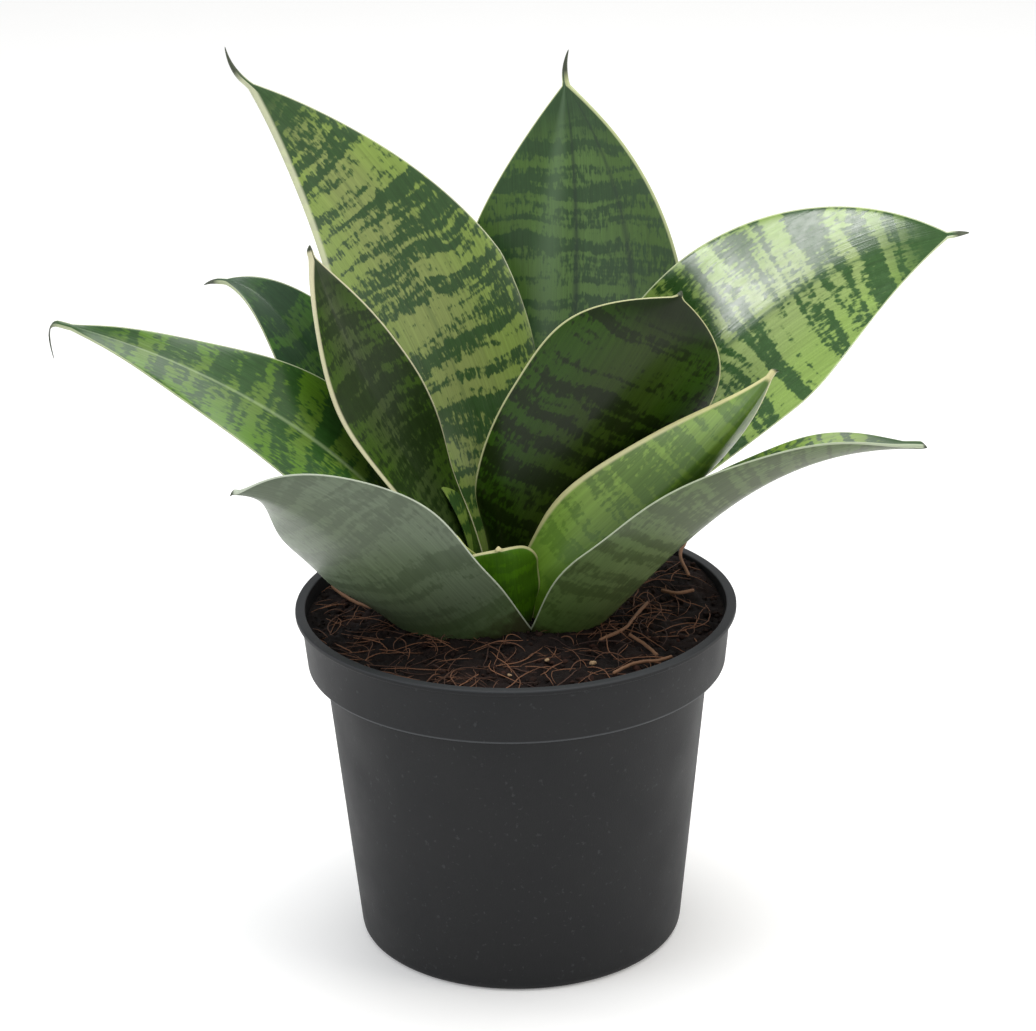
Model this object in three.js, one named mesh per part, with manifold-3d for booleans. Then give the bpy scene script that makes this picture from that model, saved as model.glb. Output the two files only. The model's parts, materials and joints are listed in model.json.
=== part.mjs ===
// Dwarf (bird's nest) snake plant in a round plastic nursery pot.
// Millimetres, +Z up. The origin is the middle of the pot's flat underside, on its axis.
import * as THREE from 'three';
import { mergeVertices } from 'three/addons/utils/BufferGeometryUtils.js';
import Module from 'manifold-3d';

const wasm = await Module();
wasm.setup();

// ---- driving sizes -------------------------------------------------------------------------

const fitGap = 0.3; // clearance left between pieces that touch
const roundSteps = 48; // facets round the pot

const potHeight = 96;
const potLipRadius = 60; // outside of the lip
const potWall = 1.2;
const lipHeight = 1.4;
const lipRound = 0.42; // chamfer on the lip's outer edges
const lipOverhang = 1.5; // the lip stands proud of the band by this much
const bandHeight = 16.3; // straight rim band, from the lip down to the ledge
const bandTaper = 1.5; // radius lost from the top of the band to its foot
const ledgeDepth = 4.6; // the body is narrower than the foot of the band by this much
const ledgeHeight = 0.6;
const potFootRadius = 45; // outside of the body at the ground
const potFootRound = 2.5;
const potFloor = 1.6;
const drainHoleCount = 8;
const drainHoleRadius = 4;
const drainHolePitch = 34;

const soilDrop = 3.7; // the soil meets the wall this far below the lip
const soilMound = 2.6; // and rises by this much at the crown
const soilHeap = 3.4; // extra heap beside the wall, behind the right-hand leaves
const soilHeapAt = new THREE.Vector2(43, 24);
const soilHeapSpread = 15;
const soilLump = 0.5; // height of the crumbs on the surface
const soilWaves = { acrossX: 0.61, acrossY: 0.53, slantX: 0.23, slantY: 0.37, share: 0.6 }; // radians per mm
const soilRings = [50, 43, 36, 28, 20, 12, 0]; // radii where the surface has its own height
const soilGap = 0.7; // the loose soil stands off the leaves by this much

const crownOffset = 5; // the plant stands this far behind the pot's axis
const leafPlanting = 8; // how far the leaf feet reach into the soil
const leafThickness = 2.6; // at the midrib, near the foot
const leafTipThickness = 1.5;
const leafMarginThickness = 0.9;
const leafClasp = 0.4; // share of the length over which the clasping foot opens out
const leafSwell = 1.3; // how late the foot widens into the blade
const claspStart = 0.02; // shares of the length where the clasping foot starts to open,
const rollStart = 0.03; // and where the blade starts
const rollEnd = 0.7; // and ends its turn
const spikeShrink = 0.6; // the spike's last ring is narrower by this share
const leafGloss = 0.4;
const midribSteps = 300; // fine steps used to measure along a midrib
const bladeSteps = 12;
const spikeSteps = 2;
const acrossSteps = 6;
const trimTolerance = 0.01; // slivers finer than this are merged away after trimming

const rhizomeRadius = 3.4;
const rhizomeLength = 30;
const rhizomeDepth = 6.3; // its top lies this far below the soil at the wall

const strandRadius = 0.55;
const strandSteps = 9;
const strandSides = 6;

const colours = {
  pot: 0x35383c,
  rhizome: 0xc79a5a,
  soil: 0x2a1c15,
  root: 0xa9855c,
  bark: 0xb59a78,
};

const degree = Math.PI / 180;
const up = new THREE.Vector3(0, 0, 1);
const soilLevel = potHeight - soilDrop;
const crown = new THREE.Vector3(0, crownOffset, soilLevel);

// ---- the leaves -----------------------------------------------------------------------------
// turn      the way the leaf faces, in degrees round the crown from +X
// foot      where its midrib leaves the soil: [out, side] from the crown
// path      where the midrib then goes, as three more control points: [out, side, up]
// width     at the widest place, which is at the share `widest` of the length
// base      width of the clasping foot
// taper     how bluntly the blade closes on its tip: 1 is straight, 4 is spoon-shaped
// fold      how far each half rises from flat at the midrib, in degrees
// cup       further rise at the two margins, in degrees: [minus side, plus side]
// roll      how far the blade has turned about its midrib by the tip, in degrees
// spike     the thin dry point beyond the blade: [out, side, up]
// tip       half width where the blade meets the spike
// clasp     radius that the foot wraps round; its distance from the crown unless given

const leafHabits = [
  {
    name: 'leaf_front_left',
    turn: 250, foot: [20, -8], clasp: 26,
    path: [[33, -12, 3], [56, -28, 50], [64, -53, 51]],
    width: 50, widest: 0.5, base: 44, taper: 2.3,
    fold: 8, cup: [15, 10], roll: 6,
    spike: [1, -1, -1], tip: 0.9,
    colour: 0x6f8f6a,
  },
  {
    name: 'leaf_low_right',
    turn: 325, foot: [16, 0],
    path: [[44, -4, 12], [66, 0, 62], [102, 40, 54]],
    width: 48, widest: 0.3, base: 31, taper: 1.3,
    fold: 28, cup: [10, 10], roll: 0,
    spike: [2, 0, 0], tip: 1.6,
    colour: 0x6f9157,
  },
  {
    name: 'leaf_left',
    turn: 190, foot: [18, 3],
    path: [[26, 13, 43], [75, 12, 78], [118, -10, 87]],
    width: 42, widest: 0.45, base: 20, taper: 1,
    fold: 5, cup: [10, 10], roll: -45,
    spike: [2, 0, -10], tip: 0.9,
    colour: 0x3f7a35,
  },
  {
    name: 'leaf_right',
    turn: 28, foot: [13, 3],
    path: [[27, -10, 42], [66, -9, 89], [112, -42, 99]],
    width: 52, widest: 0.6, base: 20, taper: 1.8,
    fold: 6, cup: [12, 12], roll: 52,
    spike: [5, -1, 0], tip: 0.9,
    colour: 0x7da54b,
  },
  {
    name: 'leaf_far_left',
    turn: 148, foot: [14, 0],
    path: [[40, -2, 16], [62, 4, 84], [89, 8, 82]],
    width: 36, widest: 0.5, base: 16, taper: 1.8,
    fold: 15, cup: [10, 10], roll: -25,
    spike: [6, 0, -2], tip: 0.9,
    colour: 0x3a6b3a,
  },
  {
    name: 'leaf_small_front',
    turn: 283, foot: [14, -5.5],
    path: [[17, -7.5, 5], [20, -8.5, 14], [24, -10, 27]],
    width: 24, widest: 0.6, base: 11, taper: 5,
    fold: 5, cup: [30, 30], roll: 0,
    spike: [0, 0, 1], tip: 0.9,
    colour: 0x4f9a2a,
  },
  {
    name: 'leaf_newest',
    turn: 215, foot: [13, 0],
    path: [[14, 0, 4], [19, -2, 14], [23, -4, 28]],
    width: 20, widest: 0.6, base: 14, taper: 4,
    fold: 5, cup: [30, 30], roll: 0,
    spike: [0, 0, 1], tip: 0.9,
    colour: 0x9ccc2c,
  },
  {
    name: 'leaf_folded_right',
    turn: 285, foot: [9.5, 0],
    path: [[14, 8, 12], [46, 34, 43], [39, 60, 74]],
    width: 40, widest: 0.4, base: 20, taper: 1.8,
    fold: 45, cup: [5, 5], roll: -8,
    spike: [2, 2, 0], tip: 0.9,
    colour: 0x86ac4a,
  },
  {
    name: 'leaf_tall_left',
    turn: 125, foot: [11.5, 0],
    path: [[10, -4, 36], [34, -4, 91], [65, 40, 141]],
    width: 52, widest: 0.55, base: 16, taper: 1.2,
    fold: 2, cup: [2, 14], roll: -18,
    spike: [4, 3, 9], tip: 0.9,
    colour: 0x7fa04a,
  },
  {
    name: 'leaf_tall_back',
    turn: 70, foot: [18, 1],
    path: [[26, -8, 32], [50, -6, 87], [53, 2, 134]],
    width: 70, widest: 0.5, base: 16, taper: 2.2,
    fold: 6, cup: [12, 12], roll: 0,
    spike: [0, -1, 9], tip: 0.9,
    colour: 0x4f8a4a,
  },
  {
    name: 'leaf_inner_left',
    turn: 180, foot: [7, 2],
    path: [[20, 2, 33], [42, 9, 65], [52, 6, 104]],
    width: 31, widest: 0.6, base: 14, taper: 1.9,
    fold: 10, cup: [10, 10], roll: -45,
    spike: [0, 0, 2], tip: 0.9,
    colour: 0x3b5c2c,
  },
  {
    name: 'leaf_inner_right',
    turn: 290, foot: [5, 0],
    path: [[5, -4, 31], [30, 23, 64], [35, 34, 95]],
    width: 52, widest: 0.6, base: 14, taper: 4,
    fold: 3, cup: [24, 6], roll: -12,
    spike: [-1, 1, 1], tip: 0.9,
    colour: 0x3c5f2b,
  },
];

// ---- loose strands and chips on the soil: [x, y] and height above the soil ----------------------

const rootStrands = [
  [[36, 1, 0], [32, -9, 0], [29, -17, 0], [22, -25, 0]],
  [[30, -21, 0], [34, -26, 0], [37, -33, 0]],
  [[25, -44, 0], [31, -38, 0], [37, -36, 0], [41, -34, 0]],
  [[40, 8, 0], [44, 6, 0], [49, 8, 0]],
  [[-51, 19, 0], [-48, 13, 0], [-43, 5, 0], [-39, 1, 0]],
  [[48, 16, 0], [46, 24, 2], [48, 31, 4]],
];
const chipFlatness = [1, 0.7, 0.5];
const barkChips = [
  { at: [20, -38], size: 2.6, turn: 20 },
  { at: [8, -36], size: 1.9, turn: 70 },
  { at: [-2, -44], size: 1.6, turn: 130 },
];

// ---- helpers ------------------------------------------------------------------------------------

function smooth(from, to, x) {
  const t = Math.min(Math.max((x - from) / (to - from), 0), 1);
  return t * t * (3 - 2 * t);
}

function solidOf(geometry) {
  const bare = geometry.clone();
  bare.deleteAttribute('normal');
  bare.deleteAttribute('uv');
  const merged = mergeVertices(bare);
  return new wasm.Manifold(new wasm.Mesh({
    numProp: 3,
    vertProperties: new Float32Array(merged.attributes.position.array),
    triVerts: new Uint32Array(merged.index.array),
  }));
}

function geometryOf(solid) {
  const { numProp, vertProperties, triVerts } = solid.setTolerance(trimTolerance).getMesh();
  const points = new Float32Array((vertProperties.length / numProp) * 3);
  for (let i = 0; i < points.length / 3; i++) {
    points.set(vertProperties.subarray(i * numProp, i * numProp + 3), i * 3);
  }
  const geometry = new THREE.BufferGeometry();
  geometry.setAttribute('position', new THREE.BufferAttribute(points, 3));
  geometry.setIndex(new THREE.BufferAttribute(new Uint32Array(triVerts), 1));
  geometry.computeVertexNormals();
  return geometry;
}

function lathe(profile, steps) {
  const geometry = new THREE.LatheGeometry(profile.map(([r, z]) => new THREE.Vector2(r, z)), steps);
  return geometry.rotateX(Math.PI / 2);
}

const plant = new THREE.Group();

function addPiece(name, geometry, colour, roughness) {
  const material = new THREE.MeshStandardMaterial({ color: colour, roughness, metalness: 0 });
  const piece = new THREE.Mesh(geometry, material);
  piece.name = name;
  plant.add(piece);
  return piece;
}

// ---- pot: one thin moulding, turned about its axis, with drain holes through the floor --------------

const bandTop = potHeight - lipHeight;
const bandFoot = bandTop - bandHeight + lipHeight;
const bandTopRadius = potLipRadius - lipOverhang;
const bandFootRadius = bandTopRadius - bandTaper;
const bodyTopRadius = bandFootRadius - ledgeDepth;
const ledgeZ = bandFoot - ledgeHeight;
const footBreak = potFootRound * 0.3; // where the rounded foot turns from floor to wall

// outside radius of the tapered body at height z
function bodyRadius(z) {
  return potFootRadius + (bodyTopRadius - potFootRadius) * (z / ledgeZ);
}

// inside radius of the whole pot at height z
function innerRadius(z) {
  if (z < ledgeZ) return bodyRadius(z) - potWall;
  const share = (z - bandFoot) / (bandTop - bandFoot);
  return bandFootRadius + (bandTopRadius - bandFootRadius) * Math.max(share, 0) - potWall;
}

function potGeometry() {
  const ledgeInside = ledgeZ + potWall;
  const outline = [
    [0, 0],
    [potFootRadius - potFootRound, 0],
    [bodyRadius(footBreak) - footBreak, footBreak],
    [bodyRadius(potFootRound), potFootRound],
    [bodyTopRadius, ledgeZ],
    [bandFootRadius, bandFoot],
    [bandTopRadius, bandTop],
    [potLipRadius, bandTop + lipRound],
    [potLipRadius, potHeight - lipRound],
    [potLipRadius - lipRound, potHeight],
    [bandTopRadius - potWall, potHeight],
    [innerRadius(bandTop), bandTop],
    [bandFootRadius - potWall, ledgeInside + ledgeHeight],
    [bodyTopRadius - potWall, ledgeInside],
    [bodyRadius(potFloor) - potWall, potFloor],
    [0, potFloor],
  ];
  let pot = solidOf(lathe(outline, roundSteps));
  for (let i = 0; i < drainHoleCount; i++) {
    const hole = new THREE.CylinderGeometry(drainHoleRadius, drainHoleRadius, potFloor * 3, 12);
    hole.rotateX(Math.PI / 2);
    hole.translate(drainHolePitch, 0, potFloor / 2);
    hole.rotateZ(((i + 0.5) / drainHoleCount) * 2 * Math.PI);
    pot = pot.subtract(solidOf(hole));
  }
  return geometryOf(pot);
}

addPiece('pot', potGeometry(), colours.pot, 0.6);

// ---- leaf: a folded, clasping blade swept along its midrib -------------------------------------------

function bezier(points, t) {
  const [a, b, c, d] = points;
  const u = 1 - t;
  return a.clone().multiplyScalar(u * u * u)
    .addScaledVector(b, 3 * u * u * t)
    .addScaledVector(c, 3 * u * t * t)
    .addScaledVector(d, t * t * t);
}

// even steps along the midrib, each with its place and direction
function midrib(points, steps) {
  const fine = midribSteps;
  const places = [];
  const lengths = [0];
  for (let i = 0; i <= fine; i++) {
    places.push(bezier(points, i / fine));
    if (i > 0) lengths.push(lengths[i - 1] + places[i].distanceTo(places[i - 1]));
  }
  const total = lengths[fine];
  const stations = [];
  let at = 1;
  for (let i = 0; i <= steps; i++) {
    const wanted = (i / steps) * total;
    while (at < fine && lengths[at] < wanted) at++;
    const share = (wanted - lengths[at - 1]) / (lengths[at] - lengths[at - 1]);
    const place = places[at - 1].clone().lerp(places[at], share);
    const along = places[at].clone().sub(places[at - 1]).normalize();
    stations.push({ place, along });
  }
  return stations;
}

// half of the blade's width at the share s of its length
function halfWidth(habit, s) {
  const foot = habit.base / 2;
  const full = habit.width / 2;
  if (s < habit.widest) {
    return foot + (full - foot) * Math.sin((s / habit.widest) * Math.PI / 2) ** leafSwell;
  }
  const past = (s - habit.widest) / (1 - habit.widest);
  return Math.max(full * (1 - past ** habit.taper), habit.tip);
}

// `grow` swells the leaf evenly, for the clearance cut into its neighbours
function leafGeometry(habit, grow) {
  const turn = habit.turn * degree;
  const out = new THREE.Vector3(Math.cos(turn), Math.sin(turn), 0);
  const side = new THREE.Vector3(-Math.sin(turn), Math.cos(turn), 0);
  const fromCrown = ([o, s, u]) => crown.clone()
    .addScaledVector(out, o)
    .addScaledVector(side, s)
    .addScaledVector(up, u);
  const route = [[...habit.foot, -leafPlanting], ...habit.path].map(fromCrown);
  const stations = midrib(route, bladeSteps);
  const footRadius = habit.clasp ?? habit.foot[0];

  const rings = stations.map(({ place, along }, i) => {
    const s = i / bladeSteps;
    const flat = side.clone().addScaledVector(along, -side.dot(along)).normalize();
    const face = along.clone().cross(flat);
    const roll = habit.roll * degree * smooth(rollStart, rollEnd, s);
    const across = flat.clone().multiplyScalar(Math.cos(roll)).addScaledVector(face, Math.sin(roll));
    const normal = face.clone().multiplyScalar(Math.cos(roll)).addScaledVector(flat, -Math.sin(roll));
    const open = smooth(claspStart, leafClasp, s);
    const half = halfWidth(habit, s);
    const thick = leafThickness + (leafTipThickness - leafThickness) * s;
    const centre = place.clone();
    if (i === 0) centre.addScaledVector(along, -grow);
    const upper = [];
    const lower = [];
    for (let j = 0; j <= acrossSteps; j++) {
      const t = (2 * j) / acrossSteps - 1;
      const cup = habit.cup[t < 0 ? 0 : 1] * degree;
      const bend = Math.max((1 - open) * (half / footRadius) + open * cup, 0.001);
      const fold = habit.fold * degree * open;
      const tilt = fold + bend * Math.abs(t);
      const x = Math.sign(t) * (half / bend) * (Math.sin(tilt) - Math.sin(fold));
      const lift = (half / bend) * (Math.cos(fold) - Math.cos(tilt));
      const body = Math.min(thick, half * 2);
      const depth = (leafMarginThickness + (body - leafMarginThickness) * (1 - t * t)) / 2 + grow;
      const outward = Math.abs(t) === 1 ? Math.sign(t) * grow : 0;
      const point = centre.clone()
        .addScaledVector(across, x + outward * Math.cos(tilt))
        .addScaledVector(normal, lift + Math.abs(outward) * Math.sin(tilt));
      const faceOut = normal.clone().multiplyScalar(Math.cos(tilt))
        .addScaledVector(across, -Math.sign(t) * Math.sin(tilt));
      upper.push(point.clone().addScaledVector(faceOut, depth));
      lower.unshift(point.clone().addScaledVector(faceOut, -depth));
    }
    return [...upper, ...lower];
  });

  // the spike: the last ring, shrunk and carried on to its point
  const tipPlace = stations[bladeSteps].place;
  const [o, s, u] = habit.spike;
  const reach = new THREE.Vector3()
    .addScaledVector(out, o)
    .addScaledVector(side, s)
    .addScaledVector(up, u);
  const carried = stations[bladeSteps].along.clone().multiplyScalar(reach.length() / 2);
  const lastRing = rings[bladeSteps];
  for (let k = 1; k <= spikeSteps; k++) {
    const q = k / (spikeSteps + 1);
    const shift = carried.clone().multiplyScalar(2 * q * (1 - q)).addScaledVector(reach, q * q);
    const size = 1 - q * spikeShrink;
    rings.push(lastRing.map((p) => p.clone().sub(tipPlace).multiplyScalar(size).add(tipPlace).add(shift)));
  }
  const point = tipPlace.clone().add(reach).addScaledVector(reach.clone().normalize(), grow);

  const around = rings[0].length;
  const foot = stations[0].place.clone().addScaledVector(stations[0].along, -grow);
  const corners = [...rings.flat(), foot, point];
  const footCentre = corners.length - 2;
  const pointCorner = corners.length - 1;
  const faces = [];
  for (let j = 0; j < around; j++) {
    const next = (j + 1) % around;
    for (let i = 0; i < rings.length - 1; i++) {
      const a = i * around + j;
      const b = i * around + next;
      faces.push(a, a + around, b, b, a + around, b + around);
    }
    const last = (rings.length - 1) * around;
    faces.push(footCentre, j, next);
    faces.push(pointCorner, last + next, last + j);
  }
  const geometry = new THREE.BufferGeometry();
  geometry.setAttribute('position', new THREE.Float32BufferAttribute(corners.flatMap((p) => p.toArray()), 3));
  geometry.setIndex(faces);
  return geometry;
}

// each leaf gives way to the ones listed before it, so the clasping feet nest without touching
const grownLeaves = [];
for (const habit of leafHabits) {
  let leaf = solidOf(leafGeometry(habit, 0));
  for (const neighbour of grownLeaves) leaf = leaf.subtract(neighbour);
  grownLeaves.push(solidOf(leafGeometry(habit, fitGap)));
  addPiece(habit.name, geometryOf(leaf), habit.colour, leafGloss);
}

// ---- rhizome: the short buried stem under the leaves ---------------------------------------------------

function rhizomeGeometry(grow) {
  const radius = rhizomeRadius + grow;
  const body = new THREE.CapsuleGeometry(radius, rhizomeLength - 2 * rhizomeRadius, 4, 12);
  body.rotateX(Math.PI / 2);
  body.translate(crown.x, crown.y, soilLevel - rhizomeDepth - rhizomeLength / 2);
  return body;
}

addPiece('rhizome', rhizomeGeometry(0), colours.rhizome, 0.7);

// ---- soil: fills the pot, mounded at the crown and heaped by the wall ------------------------------------

// smooth repeatable lumps, from two short waves crossed with a long slanting one
function crumbs(x, y) {
  const short = Math.sin(x * soilWaves.acrossX + 1.3) * Math.cos(y * soilWaves.acrossY - 0.4);
  const long = Math.sin(x * soilWaves.slantX - y * soilWaves.slantY);
  return short * soilWaves.share + long * (1 - soilWaves.share);
}

function soilTop(x, y) {
  const edge = innerRadius(soilLevel);
  const inward = 1 - Math.min(Math.hypot(x, y) / edge, 1);
  const heap = Math.exp(-(((x - soilHeapAt.x) ** 2 + (y - soilHeapAt.y) ** 2) / soilHeapSpread ** 2));
  return soilLevel + soilMound * smooth(0, 1, inward) + soilHeap * heap
    + soilLump * crumbs(x, y) * smooth(0, 0.1, inward);
}

function soilGeometry() {
  const edge = innerRadius(soilLevel) - fitGap;
  const floor = potFloor + fitGap;
  const ledge = ledgeZ + potWall;
  const top = [edge, ...soilRings].map((r) => [r, soilLevel]);
  const outline = [
    [0, floor],
    [bodyRadius(floor) - potWall - fitGap, floor],
    [bodyTopRadius - potWall - fitGap, ledge + fitGap],
    [bandFootRadius - potWall - fitGap, ledge + ledgeHeight + fitGap],
    ...top,
  ];
  const geometry = lathe(outline, roundSteps);
  const points = geometry.attributes.position;
  for (let i = 0; i < points.count; i++) {
    const onTop = points.getZ(i) > soilLevel - fitGap;
    if (onTop) points.setZ(i, soilTop(points.getX(i), points.getY(i)));
  }
  let soil = solidOf(geometry);
  for (const habit of leafHabits) soil = soil.subtract(solidOf(leafGeometry(habit, soilGap)));
  soil = soil.subtract(solidOf(rhizomeGeometry(fitGap)));
  return geometryOf(soil);
}

addPiece('potting_soil', soilGeometry(), colours.soil, 0.95);

// ---- root strands and bark chips, lying on the soil ------------------------------------------

function strandGeometry(route) {
  const clear = strandRadius + 2 * fitGap;
  const lie = route.map(([x, y, raise]) => new THREE.Vector3(x, y, soilTop(x, y) + raise + clear));
  const section = new THREE.Shape();
  for (let i = 0; i < strandSides; i++) {
    const a = (i / strandSides) * 2 * Math.PI;
    const x = Math.cos(a) * strandRadius;
    const y = Math.sin(a) * strandRadius;
    if (i === 0) section.moveTo(x, y);
    else section.lineTo(x, y);
  }
  section.closePath();
  const extrudePath = new THREE.CatmullRomCurve3(lie);
  return new THREE.ExtrudeGeometry(section, { steps: strandSteps, extrudePath });
}

rootStrands.forEach((route, i) => {
  addPiece(`root_strand_${i + 1}`, strandGeometry(route), colours.root, 0.8);
});

barkChips.forEach(({ at: [x, y], size, turn }, i) => {
  const chip = new THREE.DodecahedronGeometry(size / 2, 0);
  chip.scale(...chipFlatness);
  const piece = addPiece(`bark_chip_${i + 1}`, chip, colours.bark, 0.85);
  piece.position.set(x, y, soilTop(x, y) + (size / 2) * chipFlatness[2] + 2 * fitGap);
  piece.rotation.z = turn * degree;
});

export default plant;
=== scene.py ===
# Dwarf bird's nest snake plant in a nursery pot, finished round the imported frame.
# Every size below is in millimetres unless it says otherwise; the scene itself is in metres.
import json
import math
import random

import bmesh
import bpy
import numpy as np
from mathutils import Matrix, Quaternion, Vector, noise

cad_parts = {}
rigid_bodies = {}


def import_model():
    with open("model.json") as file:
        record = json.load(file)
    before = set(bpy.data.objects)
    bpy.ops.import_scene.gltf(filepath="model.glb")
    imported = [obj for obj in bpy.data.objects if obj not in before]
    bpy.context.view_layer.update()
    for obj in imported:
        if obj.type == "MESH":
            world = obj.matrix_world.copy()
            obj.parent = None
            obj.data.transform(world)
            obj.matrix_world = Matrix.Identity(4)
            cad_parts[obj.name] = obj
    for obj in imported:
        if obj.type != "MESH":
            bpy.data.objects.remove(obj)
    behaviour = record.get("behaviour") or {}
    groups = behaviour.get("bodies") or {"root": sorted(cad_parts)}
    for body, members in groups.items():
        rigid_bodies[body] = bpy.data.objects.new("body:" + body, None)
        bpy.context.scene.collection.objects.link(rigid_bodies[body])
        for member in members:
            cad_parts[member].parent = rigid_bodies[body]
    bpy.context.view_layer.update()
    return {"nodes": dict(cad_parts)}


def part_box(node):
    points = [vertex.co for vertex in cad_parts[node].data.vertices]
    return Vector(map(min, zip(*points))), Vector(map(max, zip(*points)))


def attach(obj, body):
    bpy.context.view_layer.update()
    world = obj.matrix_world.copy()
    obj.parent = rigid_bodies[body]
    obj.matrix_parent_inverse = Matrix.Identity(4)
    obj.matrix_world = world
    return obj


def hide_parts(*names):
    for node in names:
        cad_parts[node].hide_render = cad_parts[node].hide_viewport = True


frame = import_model()
potLow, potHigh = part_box("pot")
scene = bpy.context.scene
mm = 0.001
up = np.array([0.0, 0.0, 1.0])
print("frame loaded:", len(frame["nodes"]), "nodes")


# small helpers

def hexToLinear(text):  # sRGB hex to the linear colour that shaders want
    parts = [int(text[i:i + 2], 16) / 255 for i in (0, 2, 4)]
    return tuple(c / 12.92 if c <= 0.04045 else ((c + 0.055) / 1.055) ** 2.4 for c in parts) + (1.0,)


def smooth(low, high, x):
    t = np.clip((x - low) / (high - low), 0, 1)
    return t * t * (3 - 2 * t)


def addNode(tree, kind, inputs=None, **settings):
    node = tree.nodes.new("ShaderNode" + kind)
    for name, value in settings.items():
        setattr(node, name, value)
    for name, value in (inputs or {}).items():
        socket = node.inputs[name]
        if isinstance(value, bpy.types.NodeSocket):
            tree.links.new(value, socket)
        else:
            socket.default_value = value
    return node


def newMaterial(name):
    material = bpy.data.materials.new(name)
    material.use_nodes = True
    material.node_tree.nodes.clear()
    return material, material.node_tree


def meshObject(name, points, faces, material, body="root", replaces=()):
    mesh = bpy.data.meshes.new(name)
    mesh.from_pydata([tuple(p) for p in points], [], [tuple(f) for f in faces])
    mesh.update()
    mesh.polygons.foreach_set("use_smooth", [True] * len(mesh.polygons))
    mesh.materials.append(material)
    piece = bpy.data.objects.new(name, mesh)
    scene.collection.objects.link(piece)
    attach(piece, body)
    if replaces:
        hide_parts(*replaces)
    return piece


def addAttribute(piece, name, values):
    layer = piece.data.attributes.new(name, "FLOAT", "POINT")
    layer.data.foreach_set("value", np.asarray(values, dtype=np.float32))


# camera: a long lens, a little above the plant

camera = {"lens": 120, "back": 0.866, "height": 0.462, "pitch": -21.5, "yaw": 0.07, "roll": -1.06}

lensData = bpy.data.cameras.new("camera")
lensData.lens = camera["lens"]
lensData.sensor_width = 36
lensData.clip_end = 20
cameraObject = bpy.data.objects.new("camera", lensData)
scene.collection.objects.link(cameraObject)
cameraObject.location = (0, -camera["back"], camera["height"])
pitch = math.radians(camera["pitch"])
yaw = math.radians(camera["yaw"])
aim = Vector((math.sin(yaw) * math.cos(pitch), math.cos(yaw) * math.cos(pitch), math.sin(pitch)))
turned = aim.to_track_quat("-Z", "Y") @ Quaternion((0, 0, 1), math.radians(camera["roll"]))
cameraObject.rotation_mode = "QUATERNION"
cameraObject.rotation_quaternion = turned
scene.camera = cameraObject
print("camera set")


# studio: pale floor, bright room, three soft boxes and a small one for the sheen

studio = {
    "floorHalf": 6,  # metres from the middle to the edge of the sweep
    "aimHeight": 0.12,
    "sheenAim": (0.03, 0.02, 0.142),
    "floor": "FAFAF9",
    "glow": 0.16,  # the sweep is lit a little from behind, so it stays white far off
    "room": 0.62,
    # name: place in metres, width and height in metres, watts, colour
    "lamps": {
        "topBox": ((0.05, 0.1, 1.15), 0.9, 0.7, 9.0, "FFFFFF"),
        "leftBox": ((-0.95, -0.35, 0.75), 0.6, 0.8, 3.5, "F4F8FF"),
        "rightBox": ((0.9, -0.3, 0.55), 0.5, 0.7, 2.5, "FFF8EE"),
    },
    "sheenBox": ((-0.06, -1.16, 0.3), 0.32, 0.3, 7.5, "FFFFFF"),
    "sheenOn": "blade_right",
}


def paintedFloor():  # a matt paper sweep: pale, no gloss
    material, tree = newMaterial("paperSweep")
    place = addNode(tree, "TexCoord").outputs["Object"]
    fleck = addNode(tree, "TexNoise", {"Vector": place, "Scale": 40.0, "Detail": 3.0})
    tone = addNode(tree, "MapRange", {"Value": fleck.outputs["Fac"], 3: 0.985, 4: 1.0})
    colour = addNode(tree, "Mix", {0: 1.0, 6: hexToLinear(studio["floor"]), 7: tone.outputs[0]},
                     data_type="RGBA", blend_type="MULTIPLY")
    paper = addNode(tree, "BsdfPrincipled", {"Base Color": colour.outputs[2], "Roughness": 0.9,
                                             "Specular IOR Level": 0.2,
                                             "Emission Color": hexToLinear("FFFFFF"),
                                             "Emission Strength": studio["glow"]})
    addNode(tree, "OutputMaterial", {"Surface": paper.outputs[0]})
    return material


def hangSoftBox(name, settings, target):
    place, width, height, power, colour = settings
    data = bpy.data.lights.new(name, "AREA")
    data.shape = "RECTANGLE"
    data.size = width
    data.size_y = height
    data.energy = power
    data.color = hexToLinear(colour)[:3]
    lamp = bpy.data.objects.new(name, data)
    lamp.location = place
    lamp.rotation_euler = (target - lamp.location).to_track_quat("-Z", "Y").to_euler()
    scene.collection.objects.link(lamp)
    return lamp


def buildStudio():
    floorMesh = bpy.data.meshes.new("floor")
    side = studio["floorHalf"]
    floorMesh.from_pydata([(-side, -side, 0), (side, -side, 0), (side, side, 0), (-side, side, 0)],
                          [], [(0, 1, 2, 3)])
    floorMesh.materials.append(paintedFloor())
    floor = bpy.data.objects.new("floor", floorMesh)
    scene.collection.objects.link(floor)

    world = bpy.data.worlds.new("room")
    scene.world = world
    world.use_nodes = True
    world.node_tree.nodes["Background"].inputs["Color"].default_value = hexToLinear("FFFFFF")
    world.node_tree.nodes["Background"].inputs["Strength"].default_value = studio["room"]

    target = Vector((0, 0, studio["aimHeight"]))
    for name, lamp in studio["lamps"].items():
        hangSoftBox(name, lamp, target)
    scene.view_settings.view_transform = "Standard"


def lightSheen():  # a small bright box for the sheen on one waxy blade, flagged off everything else
    lamp = hangSoftBox("sheenBox", studio["sheenBox"], Vector(studio["sheenAim"]))
    lit = bpy.data.collections.new("sheenOn")
    lit.objects.link(scene.objects[studio["sheenOn"]])
    lamp.light_linking.receiver_collection = lit


buildStudio()
print("studio lit")


# snake plant leaf skin: a waxy, slightly glossy cuticle over banded flesh, so colours stay deep and the broad
# soft boxes show as pale sheens; the pale band on the tall back blade is a painted sheen

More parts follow.
